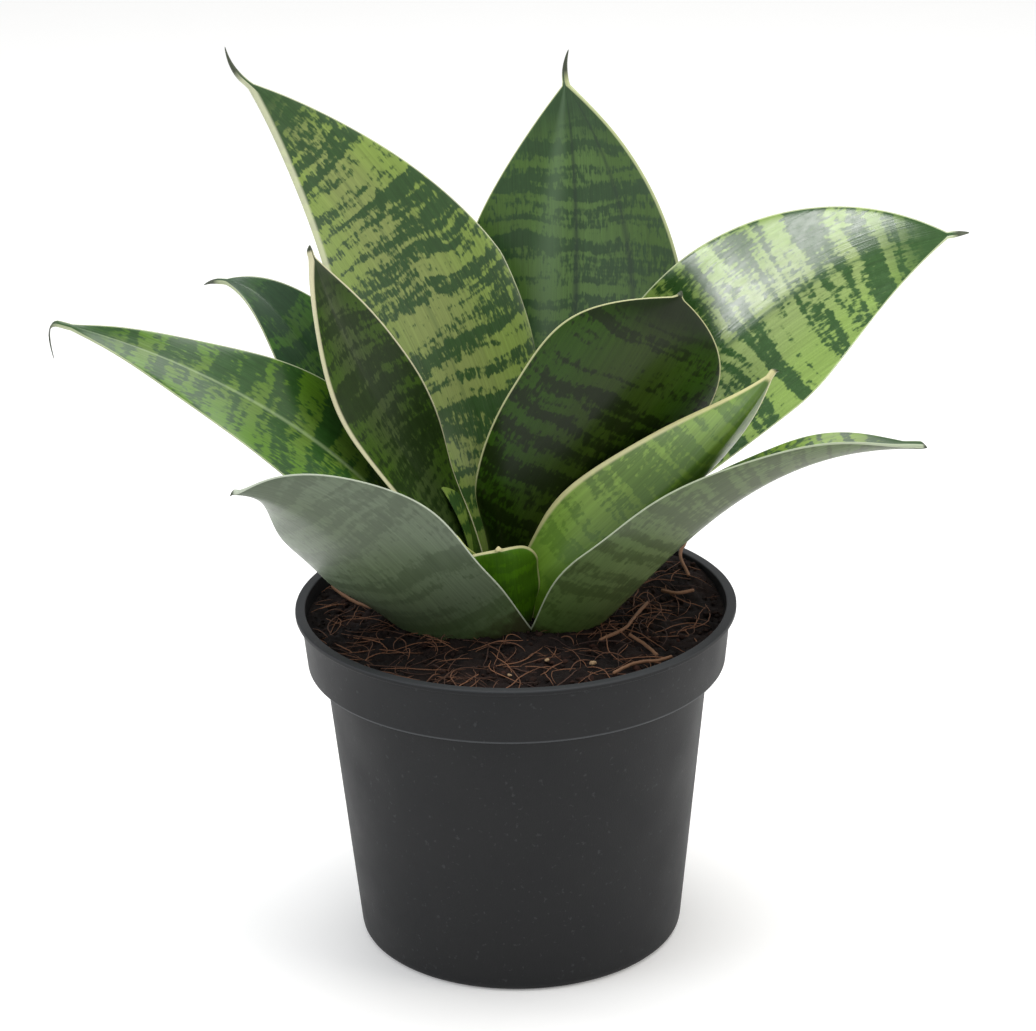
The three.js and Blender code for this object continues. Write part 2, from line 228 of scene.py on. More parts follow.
leafLook = {
    "roughness": 0.36,
    "fibre": (0.5, 30.0),  # a fibre's width and length along the blade; real ones are finer
    "wobble": (22.0, 26.0),
    "bands": (42.0, 4.0),
    "drift": 9.0,  # how far the bands wander along the blade
    "teeth": (0.8, 3.0),
    "mottle": (2.0, 2.6),
    "ragged": 0.55,
    "mottling": 0.35,
    "edgeSoftness": 0.06,  # how softly a pale blotch ends, in the pattern's own units
    "darkTip": (0.86, 0.95),  # shares of the length over which the pale blotches fade out
    "coat": 0.15,
}


def leafSkin(name, look):
    material, tree = newMaterial(name)
    across = addNode(tree, "Attribute", attribute_name="acrossMm").outputs["Fac"]
    along = addNode(tree, "Attribute", attribute_name="alongMm").outputs["Fac"]
    reach = addNode(tree, "Attribute", attribute_name="alongShare").outputs["Fac"]
    spread = addNode(tree, "Attribute", attribute_name="acrossShare").outputs["Fac"]
    edge = addNode(tree, "Attribute", attribute_name="marginMm").outputs["Fac"]
    upper = addNode(tree, "Attribute", attribute_name="upperSide").outputs["Fac"]
    spike = addNode(tree, "Attribute", attribute_name="spikeShare").outputs["Fac"]
    place = addNode(tree, "CombineXYZ", {"X": across, "Y": along, "Z": look["seed"] * 7.3}).outputs[0]

    # every pattern is a noise stretched to its own width and length in millimetres
    grain = {}
    for part, detail in (("wobble", 1.0), ("bands", 2.0), ("teeth", 3.0), ("mottle", 2.0), ("fibre", 2.0)):
        width, length = look.get(part, leafLook[part])
        source = place
        if part == "bands":
            drift = addNode(tree, "Math", {0: grain["wobble"], 1: 0.5}, operation="SUBTRACT")
            drift = addNode(tree, "Math", {0: drift.outputs[0], 1: leafLook["drift"]}, operation="MULTIPLY")
            shift = addNode(tree, "CombineXYZ", {"Y": drift.outputs[0]})
            source = addNode(tree, "VectorMath", {0: place, 1: shift.outputs[0]}, operation="ADD").outputs[0]
        scaled = addNode(tree, "VectorMath", {0: source, 1: (1 / width, 1 / length, 1)},
                         operation="MULTIPLY")
        grain[part] = addNode(tree, "TexNoise", {"Vector": scaled.outputs[0], "Scale": 1.0,
                                                 "Detail": detail, "Roughness": 0.55}).outputs["Fac"]

    # bands with saw-toothed edges that run along the fibres
    ragged = look.get("ragged", leafLook["ragged"])
    toothed = addNode(tree, "Math", {0: grain["teeth"], 1: ragged, 2: grain["bands"]},
                      operation="MULTIPLY_ADD")
    mottled = addNode(tree, "Math", {0: grain["mottle"], 1: leafLook["mottling"], 2: toothed.outputs[0]},
                      operation="MULTIPLY_ADD")
    middle = 0.5 + 0.5 * ragged + leafLook["mottling"] / 2
    middle += look.get("shade", 0.0)
    soft = leafLook["edgeSoftness"]
    light = addNode(tree, "MapRange", {"Value": mottled.outputs[0], 1: middle - soft, 2: middle + soft},
                    interpolation_type="SMOOTHSTEP").outputs[0]
    # the last stretch before the tip stays dark
    fadeFrom, fadeTo = leafLook["darkTip"]
    nearTip = addNode(tree, "MapRange", {"Value": reach, 1: fadeFrom, 2: fadeTo, 3: 1.0, 4: 0.0}).outputs[0]
    light = addNode(tree, "Math", {0: light, 1: nearTip}, operation="MULTIPLY").outputs[0]

    span = addNode(tree, "Math", {0: spread}, operation="ABSOLUTE").outputs[0]
    towardsEdge = addNode(tree, "MapRange", {"Value": span, 1: 0.1, 2: 0.8},
                          interpolation_type="SMOOTHSTEP").outputs[0]
    pale = addNode(tree, "Mix", {0: towardsEdge, 6: hexToLinear(look["paleMid"]),
                                 7: hexToLinear(look["paleEdge"])}, data_type="RGBA").outputs[2]
    deep = addNode(tree, "Mix", {0: grain["mottle"], 6: hexToLinear(look["deep"]),
                                 7: hexToLinear(look["deepAlt"])}, data_type="RGBA").outputs[2]
    topColour = addNode(tree, "Mix", {0: light, 6: deep, 7: pale}, data_type="RGBA").outputs[2]

    # the underside is greyer, with broken dark chevrons
    mark = addNode(tree, "Math", {0: 1.0, 1: light}, operation="SUBTRACT").outputs[0]
    mark = addNode(tree, "Math", {0: mark, 1: look.get("underMark", 0.6)}, operation="MULTIPLY").outputs[0]
    underPale = addNode(tree, "Mix", {0: towardsEdge, 6: hexToLinear(look["underMid"]),
                                      7: hexToLinear(look["underEdge"])}, data_type="RGBA").outputs[2]
    underColour = addNode(tree, "Mix", {0: mark, 6: underPale, 7: hexToLinear(look["underDeep"])},
                          data_type="RGBA").outputs[2]
    colour = addNode(tree, "Mix", {0: upper, 6: underColour, 7: topColour}, data_type="RGBA").outputs[2]

    # long fibres show as faint streaks
    streak = addNode(tree, "MapRange", {"Value": grain["fibre"], 1: 0.3, 2: 0.7, 3: 0.7, 4: 0.94})
    colour = addNode(tree, "Mix", {0: 1.0, 6: colour, 7: streak.outputs[0]}, data_type="RGBA",
                     blend_type="MULTIPLY").outputs[2]

    # creases and streaks that run the blade's length: place across, half width, colour, strength; the dark
    # ones are painted shade in the creases
    for centre, thin, shadeHex, strength in look.get("creaseShadeAndPaleLines", ()):
        off = addNode(tree, "Math", {0: spread, 1: centre}, operation="SUBTRACT").outputs[0]
        off = addNode(tree, "Math", {0: off}, operation="ABSOLUTE").outputs[0]
        line = addNode(tree, "MapRange", {"Value": off, 1: 0.0, 2: thin, 3: strength, 4: 0.0},
                       interpolation_type="SMOOTHSTEP").outputs[0]
        line = addNode(tree, "Math", {0: line, 1: upper}, operation="MULTIPLY").outputs[0]
        colour = addNode(tree, "Mix", {0: line, 6: colour, 7: hexToLinear(shadeHex)},
                         data_type="RGBA").outputs[2]

    # young flesh low on the blade, then the soiled foot
    young = addNode(tree, "MapRange", {"Value": reach, 1: 0.04, 2: look.get("youngTo", 0.3), 3: 1.0, 4: 0.0},
                    interpolation_type="SMOOTHSTEP").outputs[0]
    young = addNode(tree, "Math", {0: young, 1: look.get("young", 0.3)}, operation="MULTIPLY").outputs[0]
    colour = addNode(tree, "Mix", {0: young, 6: colour, 7: hexToLinear(look.get("youngColour", "5E8A2A"))},
                     data_type="RGBA").outputs[2]
    soiled = addNode(tree, "Math", {0: grain["mottle"], 1: 10.0, 2: along}, operation="MULTIPLY_ADD")
    soiled = addNode(tree, "MapRange", {"Value": soiled.outputs[0], 1: 10.0, 2: 20.0, 3: 0.8, 4: 0.0},
                     interpolation_type="SMOOTHSTEP").outputs[0]
    colour = addNode(tree, "Mix", {0: soiled, 6: colour, 7: hexToLinear("2E2418")},
                     data_type="RGBA").outputs[2]

    # the horny margin, and the dry point; on the tall left blade the margin is widened into a pale strip for
    # the rolled-under edge, its paler underside with a painted highlight where it catches the light
    minusEdge, plusEdge = look.get("margin", (0.34, 0.34))
    line = addNode(tree, "MapRange", {"Value": spread, 1: -0.05, 2: 0.05,
                                      3: minusEdge, 4: plusEdge}).outputs[0]
    rim = addNode(tree, "Math", {0: edge, 1: line}, operation="DIVIDE").outputs[0]
    rim = addNode(tree, "MapRange", {"Value": rim, 1: 0.6, 2: 1.2, 3: 1.0, 4: 0.0},
                  interpolation_type="SMOOTHSTEP").outputs[0]
    rim = addNode(tree, "Math", {0: rim, 1: look.get("marginStrength", 0.75)},
                  operation="MULTIPLY").outputs[0]
    begins = look.get("marginFrom", 0.0)  # share of the length where the pale line comes in
    shown = addNode(tree, "MapRange", {"Value": reach, 1: begins - 0.08, 2: begins + 0.08}).outputs[0]
    rim = addNode(tree, "Math", {0: rim, 1: shown}, operation="MULTIPLY").outputs[0]
    colour = addNode(tree, "Mix", {0: rim, 6: colour, 7: hexToLinear(look.get("marginColour", "B9C29A"))},
                     data_type="RGBA").outputs[2]
    dry = addNode(tree, "MapRange", {"Value": spike, 1: 0.0, 2: 0.35}).outputs[0]
    colour = addNode(tree, "Mix", {0: dry, 6: colour, 7: hexToLinear(look.get("dryColour", "3C4432"))},
                     data_type="RGBA").outputs[2]

    roughnessAndEdgeHighlight = addNode(tree, "MapRange", {"Value": grain["mottle"], 1: 0.3, 2: 0.7,
                                      3: look.get("roughness", leafLook["roughness"]) - 0.04,
                                      4: look.get("roughness", leafLook["roughness"]) + 0.06}).outputs[0]
    ridge = addNode(tree, "Bump", {"Height": grain["fibre"], "Strength": 0.25, "Distance": 0.0002})
    skin = addNode(tree, "BsdfPrincipled", {"Base Color": colour, "Roughness": roughnessAndEdgeHighlight, "IOR": 1.45,
                                            "Specular IOR Level": look.get("gloss", 0.5),
                                            "Coat Weight": leafLook["coat"], "Coat Roughness": 0.2,
                                            "Normal": ridge.outputs[0]})
    addNode(tree, "OutputMaterial", {"Surface": skin.outputs[0]})
    return material


# leaves
# turn is the way a leaf faces, foot and path are its midrib as [out, side, up] from the crown,
# cup is the further rise of the two margins and roll how far the blade turns by its tip

growing = {
    "behindAxis": 5.0,  # the crown stands this far behind the pot's axis
    "belowLip": 3.7,  # and this far below the lip
    "planting": 8.0,
    "thickness": 2.6,
    "tipThickness": 1.5,
    "marginThickness": 0.8,
    "clasp": 0.4,
    "stepsAlong": 130,
    "stepsAcross": 36,
    "spikeSteps": 10,
}

greens = {"deep": "2C4C20", "deepAlt": "355828", "paleMid": "7C9140", "paleEdge": "7A9A34",
          "underMid": "5C6E4C", "underEdge": "526C3C", "underDeep": "2F3F22"}

leaves = {
    "leaf_front_left": {
        "turn": 250, "foot": (20, -8), "clasp": 26, "path": ((33, -12, 3), (56, -28, 50), (64, -53, 51)),
        "width": 50, "widest": 0.5, "base": 44, "taper": 2.3, "fold": 8, "cup": (15, 10), "roll": 6,
        "spike": (1, -1, -1), "tip": 0.9, "ripple": (0.5, 34),
        "look": {"seed": 1, "underMid": "5D6C50", "underEdge": "64735A", "underDeep": "3E4C34",
                 "underMark": 0.5, "margin": (0.4, 0.4), "marginColour": "C9D2BE"}},
    "leaf_low_right": {
        "turn": 325, "foot": (16, 0), "path": ((44, -4, 12), (66, 0, 62), (102, 40, 54)),
        "width": 48, "widest": 0.3, "base": 31, "taper": 1.3, "fold": 28, "cup": (10, 10), "roll": 0,
        "spike": (2, 0, 0), "tip": 1.6, "ripple": (0.4, 40),
        "look": {"seed": 2, "underMid": "5F6F45", "underEdge": "5A6E40", "underDeep": "344021",
                 "underMark": 0.6, "margin": (0.4, 0.4), "marginColour": "B9C4A8"}},
    "leaf_left": {
        "turn": 190, "foot": (18, 3), "path": ((26, 13, 43), (75, 12, 78), (118, -10, 87)),
        "width": 42, "widest": 0.45, "base": 20, "taper": 1, "fold": 5, "cup": (10, 10), "roll": -45,
        "spike": (2, 0, -10), "tip": 0.9, "ripple": (0.5, 45),
        "look": {"seed": 3, "creaseShadeAndPaleLines": ((0, 0.06, "A4B888", 0.4),), "deep": "264A18",
                 "deepAlt": "305A20", "paleMid": "5E7E2C", "paleEdge": "58821C", "bands": (40.0, 6.4),
                 "shade": 0.01}},
    "leaf_right": {
        "turn": 28, "foot": (13, 3), "path": ((27, -10, 42), (66, -9, 89), (112, -42, 99)),
        "width": 52, "widest": 0.6, "base": 20, "taper": 1.8, "fold": 6, "cup": (12, 12), "roll": 52,
        "spike": (5, -1, 0), "tip": 0.9, "ripple": (0.4, 50),
        # the dark midline is painted shade in the midrib crease
        "look": {"seed": 4, "creaseShadeAndPaleLines": ((0, 0.04, "2F4B2A", 0.6),), "paleMid": "869A5C",
                 "paleEdge": "839F4E", "roughness": 0.26}},
    "leaf_far_left": {
        "turn": 148, "foot": (14, 0), "path": ((40, -2, 16), (62, 4, 84), (89, 8, 82)),
        "width": 36, "widest": 0.5, "base": 16, "taper": 1.8, "fold": 15, "cup": (10, 10), "roll": -25,
        "spike": (6, 0, -2), "tip": 0.9, "ripple": (0.3, 40),
        "look": {"seed": 5, "deep": "27472A", "deepAlt": "31562F", "paleMid": "4A7030",
                 "paleEdge": "48762C", "bands": (40.0, 6.0)}},
    "leaf_small_front": {
        "turn": 283, "foot": (14, -5.5), "path": ((17, -7.5, 5), (20, -8.5, 14), (24, -10, 27)),
        "width": 24, "widest": 0.6, "base": 11, "taper": 5, "fold": 5, "cup": (30, 30), "roll": 0,
        "spike": (0, 0, 1), "tip": 0.9, "ripple": (0.7, 11),
        "look": {"seed": 6, "underMid": "578C12", "underEdge": "649A18", "underDeep": "3E6614",
                 "margin": (0.9, 0.9), "marginColour": "E2D9A8", "dryColour": "D2C896"}},
    "leaf_newest": {
        "turn": 215, "foot": (13, 0), "path": ((14, 0, 4), (19, -2, 14), (23, -4, 28)),
        "width": 20, "widest": 0.6, "base": 14, "taper": 4, "fold": 5, "cup": (30, 30), "roll": 0,
        "spike": (0, 0, 1), "tip": 0.9, "ripple": (0.6, 9),
        "look": {"seed": 7, "underMid": "96C61E", "underEdge": "A4CE2A", "underDeep": "7CA822",
                 "margin": (0.6, 0.6), "marginColour": "D8DC8C"}},
    "leaf_folded_right": {
        "turn": 285, "foot": (9.5, 0), "path": ((14, 8, 12), (46, 34, 43), (39, 60, 74)),
        "width": 40, "widest": 0.4, "base": 20, "taper": 1.8, "fold": 45, "cup": (5, 5), "roll": -8,
        "spike": (2, 2, 0), "tip": 0.9, "ripple": (0.3, 45),
        "look": {"seed": 8, "underMid": "6B8A34", "underEdge": "8AAB4A", "underDeep": "43642A",
                 "margin": (1.5, 1.5), "marginColour": "E3D9A2", "young": 0.7, "youngTo": 0.5,
                 "youngColour": "6FA31E"}},
    "leaf_tall_left": {
        "turn": 125, "foot": (11.5, 0), "path": ((10, -4, 36), (34, -4, 91), (65, 40, 141)),
        "width": 52, "widest": 0.55, "base": 16, "taper": 1.2, "fold": 2, "cup": (2, 14), "roll": -18,
        "spike": (4, 3, 9), "tip": 0.9, "ripple": (0.4, 50),
        # the wide pale left margin is the rolled-under edge drawn flat: its paler underside and a painted
        # highlight
        "look": {"seed": 9, "margin": (0.34, 1.9), "marginFrom": 0.45,
                 # the dark midline is painted shade in the midrib crease
                 "marginColour": "D3D6B4", "creaseShadeAndPaleLines": ((0, 0.04, "2E4A2A", 0.35),),
                 "paleMid": "8B9A55", "paleEdge": "87A048"}},
    "leaf_tall_back": {
        "turn": 70, "foot": (18, 1), "path": ((26, -8, 32), (50, -6, 87), (53, 2, 134)),
        "width": 70, "widest": 0.5, "base": 16, "taper": 2.2, "fold": 6, "cup": (12, 12), "roll": 0,
        "spike": (0, -1, 9), "tip": 0.9, "ripple": (0.4, 50),
        "look": {"seed": 10, "paleMid": "587A38", "paleEdge": "4C6E2A", "deep": "2A4A20",
                 "deepAlt": "32552A", "margin": (0.9, 0.34),
                 # the two dark lines are painted shade in the midrib crease and the fold
                 "creaseShadeAndPaleLines": ((0, 0.05, "1E3420", 0.75), (-0.52, 0.05, "1E3420", 0.6),
                           # a painted sheen on the blade's left half
                           (0.25, 0.2, "7F9A78", 0.25)),
                 "marginColour": "CBD29A"}},
    "leaf_inner_left": {
        "turn": 180, "foot": (7, 2), "path": ((20, 2, 33), (42, 9, 65), (52, 6, 104)),
        "width": 31, "widest": 0.6, "base": 14, "taper": 1.9, "fold": 10, "cup": (10, 10), "roll": -45,
        "spike": (0, 0, 2), "tip": 0.9, "ripple": (0.4, 40),
        "look": {"seed": 11, "gloss": 0.25, "deep": "1E3010", "deepAlt": "2A3F16", "paleMid": "43552A",
                 "paleEdge": "3E5A18", "shade": 0.0, "margin": (0.5, 1.4), "marginColour": "E2DDB8"}},
    "leaf_inner_right": {
        "turn": 290, "foot": (5, 0), "path": ((5, -4, 31), (30, 23, 64), (35, 34, 95)),
        "width": 52, "widest": 0.6, "base": 14, "taper": 4, "fold": 3, "cup": (24, 6), "roll": -12,
        "spike": (-1, 1, 1), "tip": 0.9, "ripple": (0.3, 40),
        # the underside colours are darkened well below the other blades' as painted shade, for the underside
        # turned to the front in shadow
        "look": {"seed": 12, "gloss": 0.2, "underMid": "31450F", "underEdge": "2E4E0A", "underDeep": "141F06",
                 "underMark": 0.85, "margin": (0.5, 0.5), "marginColour": "CFCF9C"}},
}


def alongMidrib(points, steps):  # even steps along a cubic curve, with their directions
    t = np.linspace(0, 1, 500)[:, None]
    a, b, c, d = (np.array(p, dtype=float) for p in points)
    fine = a * (1 - t) ** 3 + b * 3 * (1 - t) ** 2 * t + c * 3 * (1 - t) * t ** 2 + d * t ** 3
    run = np.concatenate([[0], np.cumsum(np.linalg.norm(np.diff(fine, axis=0), axis=1))])
    wanted = np.linspace(0, run[-1], steps + 1)
    places = np.stack([np.interp(wanted, run, fine[:, k]) for k in range(3)], axis=1)
    headings = np.gradient(places, axis=0)
    headings /= np.linalg.norm(headings, axis=1)[:, None]
    return places, headings, run[-1]


def halfWidth(habit, s):
    foot = habit["base"] / 2
    full = habit["width"] / 2
    if s < habit["widest"]:
        return foot + (full - foot) * math.sin(s / habit["widest"] * math.pi / 2) ** 1.3
    past = (s - habit["widest"]) / (1 - habit["widest"])
    return max(full * (1 - past ** habit["taper"]), habit["tip"])


def growLeaf(name, habit):
    turn = math.radians(habit["turn"])
    out = np.array([math.cos(turn), math.sin(turn), 0])
    side = np.array([-math.sin(turn), math.cos(turn), 0])
    crown = np.array([0, growing["behindAxis"], potHigh.z / mm - growing["belowLip"]])
    route = [(*habit["foot"], -growing["planting"]), *habit["path"]]
    route = [crown + out * o + side * a + up * u for o, a, u in route]
    steps = growing["stepsAlong"]
    places, headings, length = alongMidrib(route, steps)
    footRadius = habit.get("clasp", habit["foot"][0])
    t = np.sin(np.linspace(-1, 1, growing["stepsAcross"] + 1) * math.pi / 2)
    middle = growing["stepsAcross"] // 2
    rippleSize, rippleLength = habit["ripple"]
    points = []
    traits = {key: [] for key in ("acrossMm", "alongMm", "alongShare", "acrossShare", "marginMm",
                                  "upperSide", "spikeShare")}

    def keep(point, spread, half, s, upper, spike):
        points.append(point)
        traits["acrossMm"].append(spread * half)
        traits["alongMm"].append(s * length)
        traits["alongShare"].append(s)
        traits["acrossShare"].append(spread)
        traits["marginMm"].append(half * (1 - abs(spread)))
        traits["upperSide"].append(upper)
        traits["spikeShare"].append(spike)

    for i, (place, heading) in enumerate(zip(places, headings)):
        s = i / steps
        flat = side - heading * side.dot(heading)
        flat /= np.linalg.norm(flat)
        face = np.cross(heading, flat)
        roll = math.radians(habit["roll"]) * smooth(0.03, 0.7, s)
        across = flat * math.cos(roll) + face * math.sin(roll)
        normal = face * math.cos(roll) - flat * math.sin(roll)
        opened = smooth(0.02, growing["clasp"], s)
        half = halfWidth(habit, s)
        body = min(growing["thickness"] + (growing["tipThickness"] - growing["thickness"]) * s, half * 2)
        cup = np.where(t < 0, math.radians(habit["cup"][0]), math.radians(habit["cup"][1]))
        bend = (1 - opened) * half / footRadius + opened * cup
        fold = math.radians(habit["fold"]) * opened * smooth(0, 0.1, np.abs(t))
        tilt = fold + bend * np.abs(t)
        stride = np.diff(t)
        runs = np.concatenate([[0], np.cumsum(stride * (np.cos(tilt[1:]) + np.cos(tilt[:-1])) / 2)])
        rises = np.concatenate([[0], np.cumsum(stride * (np.sin(tilt[1:]) * np.sign(t[1:])
                                                          + np.sin(tilt[:-1]) * np.sign(t[:-1])) / 2)])
        x = half * (runs - runs[middle])
        lift = half * (rises - rises[middle])
        wave = math.sin(s * length / rippleLength * 2 * math.pi + habit["turn"])
        lift = lift + rippleSize * wave * np.abs(t) ** 3 * smooth(0.1, 0.5, s) * (1 - smooth(0.9, 1, s))
        depth = (growing["marginThickness"] + (body - growing["marginThickness"]) * (1 - t * t)) / 2
        depth = depth * np.sqrt(np.clip(1 - np.abs(t) ** 14, 0, 1))
        ridge = place + across * x[:, None] + normal * lift[:, None]
        outward = normal * np.cos(tilt)[:, None] - across * (np.sign(t) * np.sin(tilt))[:, None]
        for j in range(len(t)):
            rim = j in (0, len(t) - 1)
            keep(ridge[j] + outward[j] * depth[j], t[j], half, s, 0.5 if rim else 1.0, 0)
        for j in range(len(t) - 2, 0, -1):
            keep(ridge[j] - outward[j] * depth[j], t[j], half, s, 0.0, 0)

    around = 2 * growing["stepsAcross"]
    tipPlace = places[-1]
    lastRing = points[-around:]
    lastTraits = {key: traits[key][-around:] for key in traits}
    o, a, u = habit["spike"]
    reach = out * o + side * a + up * u
    carried = headings[-1] * np.linalg.norm(reach) / 2
    for k in range(1, growing["spikeSteps"] + 1):
        q = k / (growing["spikeSteps"] + 0.6)
        shift = carried * 2 * q * (1 - q) + reach * q * q
        for j, corner in enumerate(lastRing):
            keep((corner - tipPlace) * (1 - q ** 1.5 * 0.85) + tipPlace + shift,
                 lastTraits["acrossShare"][j], habit["tip"], 1.0, lastTraits["upperSide"][j], q)
    keep(places[0] - headings[0] * 0.4, 0, 1, 0, 0.5, 0)
    keep(tipPlace + reach, 0, 1, 1, 0.5, 1)

    rows = steps + 1 + growing["spikeSteps"]
    faces = []
    for i in range(rows - 1):
        for j in range(around):
            nextJ = (j + 1) % around
            a0 = i * around + j
            b0 = i * around + nextJ
            faces.append((b0, a0, a0 + around, b0 + around))
    last = (rows - 1) * around
    for j in range(around):
        nextJ = (j + 1) % around
        faces.append((rows * around, j, nextJ))
        faces.append((rows * around + 1, last + nextJ, last + j))

    # the finished blade fills the box that its plain one holds
    points = np.array(points)
    low, high = (np.array(corner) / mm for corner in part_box(name))
    ownLow, ownHigh = points.min(axis=0), points.max(axis=0)
    misfit = np.abs(np.stack([ownLow - low, ownHigh - high])).max(axis=1)
    print("  ", name, "fits within", np.round(misfit, 2))
    points = low + (points - ownLow) * (high - low) / (ownHigh - ownLow)
    look = {**greens, **habit["look"]}
    blade = meshObject(name.replace("leaf", "blade"), points * mm, faces, leafSkin(name + "_skin", look),
                       replaces=(name,))
    for key, values in traits.items():
        addAttribute(blade, key, values)
    return blade


for name, habit in leaves.items():
    growLeaf(name, habit)
lightSheen()
print("leaves grown:", len(leaves))


# nursery pot: polypropylene, injection moulded with a fine spark-eroded grain, which gives a soft charcoal
# surface with a wide dull sheen; the paler line where an edge catches the light is painted highlight on the
# ledge and the lip top

nurseryPot = {
    "wall": 1.2,
    "lip": 1.4,
    "lipProud": 1.5,
    "band": 16.3,
    "bandTaper": 1.5,
    "ledge": 4.6,
    "ledgeDrop": 0.6,
    "footRadius": 45,
    "footRound": 2.5,
    "floor": 1.6,
    "holes": 8,
    "holeRadius": 4,
    "holePitch": 34,
    "facets": 192,
    "colour": "161719",
    # colour of the painted highlight along the ledge and the lip top
    "edge": "4C4F52",
    "grainSize": 0.45,  # sparks leave pits near 0.1 mm; drawn coarser so that they show
}


def mouldedPolypropylene():
    material, tree = newMaterial("mouldedPolypropylene")
    place = addNode(tree, "TexCoord").outputs["Object"]
    pits = addNode(tree, "TexNoise", {"Vector": place, "Scale": 1 / (nurseryPot["grainSize"] * mm),
                                      "Detail": 3.0, "Roughness": 0.6})
    clouds = addNode(tree, "TexNoise", {"Vector": place, "Scale": 45.0, "Detail": 4.0})
    dust = addNode(tree, "TexNoise", {"Vector": place, "Scale": 700.0, "Detail": 2.0})
    tone = addNode(tree, "MapRange", {"Value": clouds.outputs["Fac"], 1: 0.3, 2: 0.7, 3: 0.88, 4: 1.1})
    colour = addNode(tree, "Mix", {0: 1.0, 6: hexToLinear(nurseryPot["colour"]), 7: tone.outputs[0]},
                     data_type="RGBA", blend_type="MULTIPLY").outputs[2]
    specks = addNode(tree, "MapRange", {"Value": dust.outputs["Fac"], 1: 0.66, 2: 0.74, 3: 0.0, 4: 0.35})
    colour = addNode(tree, "Mix", {0: specks.outputs[0], 6: colour, 7: hexToLinear("3C3E40")},
                     data_type="RGBA").outputs[2]
    # painted highlight: the ledge and the top of the lip are coloured paler where they catch the light
    roughnessAndEdgeHighlight = addNode(tree, "Attribute", attribute_name="edgeHighlight").outputs["Fac"]
    colour = addNode(tree, "Mix", {0: roughnessAndEdgeHighlight, 6: colour, 7: hexToLinear(nurseryPot["edge"])},
                     data_type="RGBA").outputs[2]
    dull = addNode(tree, "MapRange", {"Value": clouds.outputs["Fac"], 1: 0.3, 2: 0.7, 3: 0.5, 4: 0.62})
    grain = addNode(tree, "Bump", {"Height": pits.outputs["Fac"], "Strength": 0.3, "Distance": 0.0001})
    plastic = addNode(tree, "BsdfPrincipled", {"Base Color": colour, "Roughness": dull.outputs[0],
                                               "IOR": 1.49, "Specular IOR Level": 0.25,
                                               "Normal": grain.outputs[0]})
    addNode(tree, "OutputMaterial", {"Surface": plastic.outputs[0]})
    return material


def roundedOutline(corners, steps=5):  # each corner is (radius, height, rounding)
    points = []
    for i, (r, z, rounding) in enumerate(corners):
        here = np.array((r, z), dtype=float)
        if rounding == 0 or i in (0, len(corners) - 1):
            points.append(here)
            continue
        before = np.array(corners[i - 1][:2], dtype=float) - here
        after = np.array(corners[i + 1][:2], dtype=float) - here
        start = here + before / np.linalg.norm(before) * rounding
        end = here + after / np.linalg.norm(after) * rounding
        for k in range(steps + 1):
            q = k / steps
            points.append(start * (1 - q) ** 2 + here * 2 * q * (1 - q) + end * q * q)
    return points


def turnProfile(outline, facets):  # both ends lie on the axis
    points = [(0, 0, outline[0][1])]
    for r, z in outline[1:-1]:
        for k in range(facets):
            a = 2 * math.pi * k / facets
            points.append((r * math.cos(a), r * math.sin(a), z))
    points.append((0, 0, outline[-1][1]))
    faces = [(0, 1 + (k + 1) % facets, 1 + k) for k in range(facets)]
    for i in range(len(outline) - 3):
        for k in range(facets):
            a = 1 + i * facets + k
            b = 1 + i * facets + (k + 1) % facets
            faces.append((a, b, b + facets, a + facets))
    last = 1 + (len(outline) - 3) * facets
    faces += [(len(points) - 1, last + k, last + (k + 1) % facets) for k in range(facets)]
    return points, faces


lipRadius = potHigh.x / mm
height = potHigh.z / mm
bandRadius = lipRadius - nurseryPot["lipProud"]
bandFoot = height - nurseryPot["band"]
bandFootRadius = bandRadius - nurseryPot["bandTaper"]
ledge = bandFoot - nurseryPot["ledgeDrop"]
bodyRadius = bandFootRadius - nurseryPot["ledge"]


